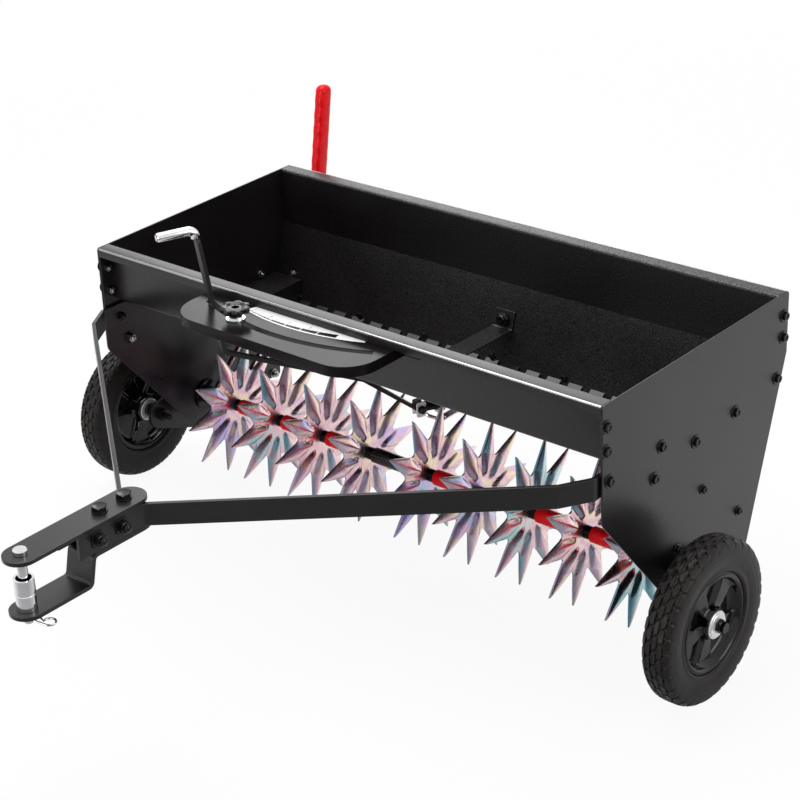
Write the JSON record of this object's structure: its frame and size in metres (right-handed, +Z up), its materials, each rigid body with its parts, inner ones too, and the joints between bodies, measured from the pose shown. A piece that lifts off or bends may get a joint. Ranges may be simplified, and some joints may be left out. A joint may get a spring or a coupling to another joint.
{
  "type": "tow-behind drop spreader",
  "caption": "Tow-behind drop spreader hopper over a reel of spiked star wheels, with two wheels, an A-frame hitch, a flow lever with a shutter, and a transport lever.",
  "frame": {"origin": "on the floor, in the machine's middle plane, under the middle of the whole part's box, which is 210 mm in front of the middle of the hopper", "axes": "+X to the viewer's right when facing the front, -Y forwards to the hitch, +Z up; the wheels stand on Z = 0"},
  "size_m": [0.992, 0.9876, 0.4892],
  "materials": {
    "black_coat": "satin black powder coat",
    "yellow_zinc": "iridescent yellow zinc plate",
    "bright_plate": "bright plated",
    "red_plastic": "glossy red",
    "black_moulding": "glossy black",
    "tyre_rubber": "matt black rubber"
  },
  "bodies": {
    "frame": {"end_plate_left": "black_coat", "end_plate_right": "black_coat", "hopper_front_panel": "black_coat", "hopper_rear_panel": "black_coat", "shutter_rail_upper": "black_coat", "shutter_rail_lower": "black_coat", "centre_tie_strap": "black_coat", "agitator_drive_cover": "black_coat", "agitator_bearing": "black_moulding", "axle_bearing_left": "black_moulding", "axle_bearing_right": "black_moulding", "control_panel": "black_coat", "lever_pivot_bracket": "black_coat", "lever_pivot_bolt": "bright_plate", "tongue_bar_left": "black_coat", "tongue_bar_right": "black_coat", "hitch_top_plate": "black_coat", "hitch_lower_plate": "black_coat", "drive_chain": "yellow_zinc"},
    "transport_set": {"star_axle": "bright_plate", "wheel_crank_left": "black_coat", "wheel_crank_right": "black_coat", "wheel_axle_left": "bright_plate", "wheel_axle_right": "bright_plate", "transport_lever": "black_coat", "transport_grip": "red_plastic"},
    "wheel_left": {"tyre_left": "tyre_rubber", "rim_left": "black_moulding"},
    "wheel_right": {"tyre_right": "tyre_rubber", "rim_right": "black_moulding"},
    "star_reel": {"star_1": "yellow_zinc", "star_2": "yellow_zinc", "star_3": "yellow_zinc", "star_4": "yellow_zinc", "star_5": "yellow_zinc", "star_6": "yellow_zinc", "star_7": "yellow_zinc", "star_8": "yellow_zinc", "star_9": "yellow_zinc", "spacer_1": "red_plastic", "spacer_2": "red_plastic", "spacer_3": "red_plastic", "spacer_4": "black_coat", "spacer_5": "red_plastic", "spacer_6": "red_plastic", "spacer_7": "red_plastic", "spacer_8": "red_plastic", "end_spacer": "red_plastic", "drive_sprocket": "yellow_zinc"},
    "agitator": {"agitator_shaft": "yellow_zinc", "agitator_sprocket": "yellow_zinc"},
    "flow_lever": {"flow_lever": "black_coat"},
    "control_link": {"control_link": "bright_plate"},
    "shutter": {"shutter_plate": "yellow_zinc"},
    "stop": {"stop_bolt": "bright_plate"},
    "stop_knob": {"stop_knob": "black_moulding"},
    "hitch_pin": {"hitch_pin": "bright_plate"},
    "hitch_sleeve": {"hitch_sleeve": "bright_plate"},
    "hairpin_clip": {"hairpin_clip": "bright_plate"}
  },
  "joints": [
    {"name": "transport_lift", "type": "hinge", "parent": "frame", "child": "transport_set", "pos_m": [0, 0.19517, 0.1112], "axis": [-1, 0, 0], "range_deg": [0, 30]},
    {"name": "wheel_spin_left", "type": "hinge", "parent": "transport_set", "child": "wheel_left", "pos_m": [-0.4655, 0.12467, 0.1012], "axis": [1, 0, 0], "continuous": true},
    {"name": "wheel_spin_right", "type": "hinge", "parent": "transport_set", "child": "wheel_right", "pos_m": [0.4655, 0.12467, 0.1012], "axis": [1, 0, 0], "continuous": true},
    {"name": "reel_spin", "type": "hinge", "parent": "frame", "child": "star_reel", "pos_m": [0, 0.19517, 0.1112], "axis": [1, 0, 0], "continuous": true},
    {"name": "agitator_spin", "type": "hinge", "parent": "frame", "child": "agitator", "pos_m": [0, 0.29817, 0.2027], "axis": [1, 0, 0], "continuous": true},
    {"name": "flow_control", "type": "hinge", "parent": "frame", "child": "flow_lever", "pos_m": [-0.04065, 0.28117, 0.16875], "axis": [0, 0, 1], "range_deg": [0, 44]},
    {"name": "link_pivot", "type": "hinge", "parent": "flow_lever", "child": "control_link", "pos_m": [-0.04879, 0.2629, 0.16875], "axis": [0, 0, 1], "range_deg": [-45, 1]},
    {"name": "shutter_slide", "type": "slide", "parent": "frame", "child": "shutter", "axis": [1, 0, 0], "range_m": [0, 0.01518]},
    {"name": "stop_setting", "type": "hinge", "parent": "frame", "child": "stop", "pos_m": [-0.04065, 0.28117, 0.16875], "axis": [0, 0, 1], "range_deg": [0, 37]},
    {"name": "knob_turn", "type": "hinge", "parent": "stop", "child": "stop_knob", "pos_m": [-0.10639, -0.02035, 0.3947], "axis": [0, 0, 1], "range_deg": [0, 360]},
    {"name": "pin_lift", "type": "slide", "parent": "frame", "child": "hitch_pin", "axis": [0, 0, 1], "range_m": [0, 0.005]},
    {"name": "sleeve_turn", "type": "hinge", "parent": "frame", "child": "hitch_sleeve", "pos_m": [0, -0.47283, 0.25], "axis": [0, 0, 1], "continuous": true},
    {"name": "clip_pull", "type": "slide", "parent": "hitch_pin", "child": "hairpin_clip", "axis": [0.9945, 0.1045, 0], "range_m": [0, 0.045]}
  ],
  "couplings": [
    {"joint": "agitator_spin", "follows": "reel_spin", "ratio": 1},
    {"joint": "link_pivot", "follows": "flow_control", "ratio": -1},
    {"joint": "shutter_slide", "follows": "flow_control", "m_per_rad": 0.0195},
    {"joint": "stop_setting", "follows": "flow_control", "ratio": 0.83636}
  ]
}
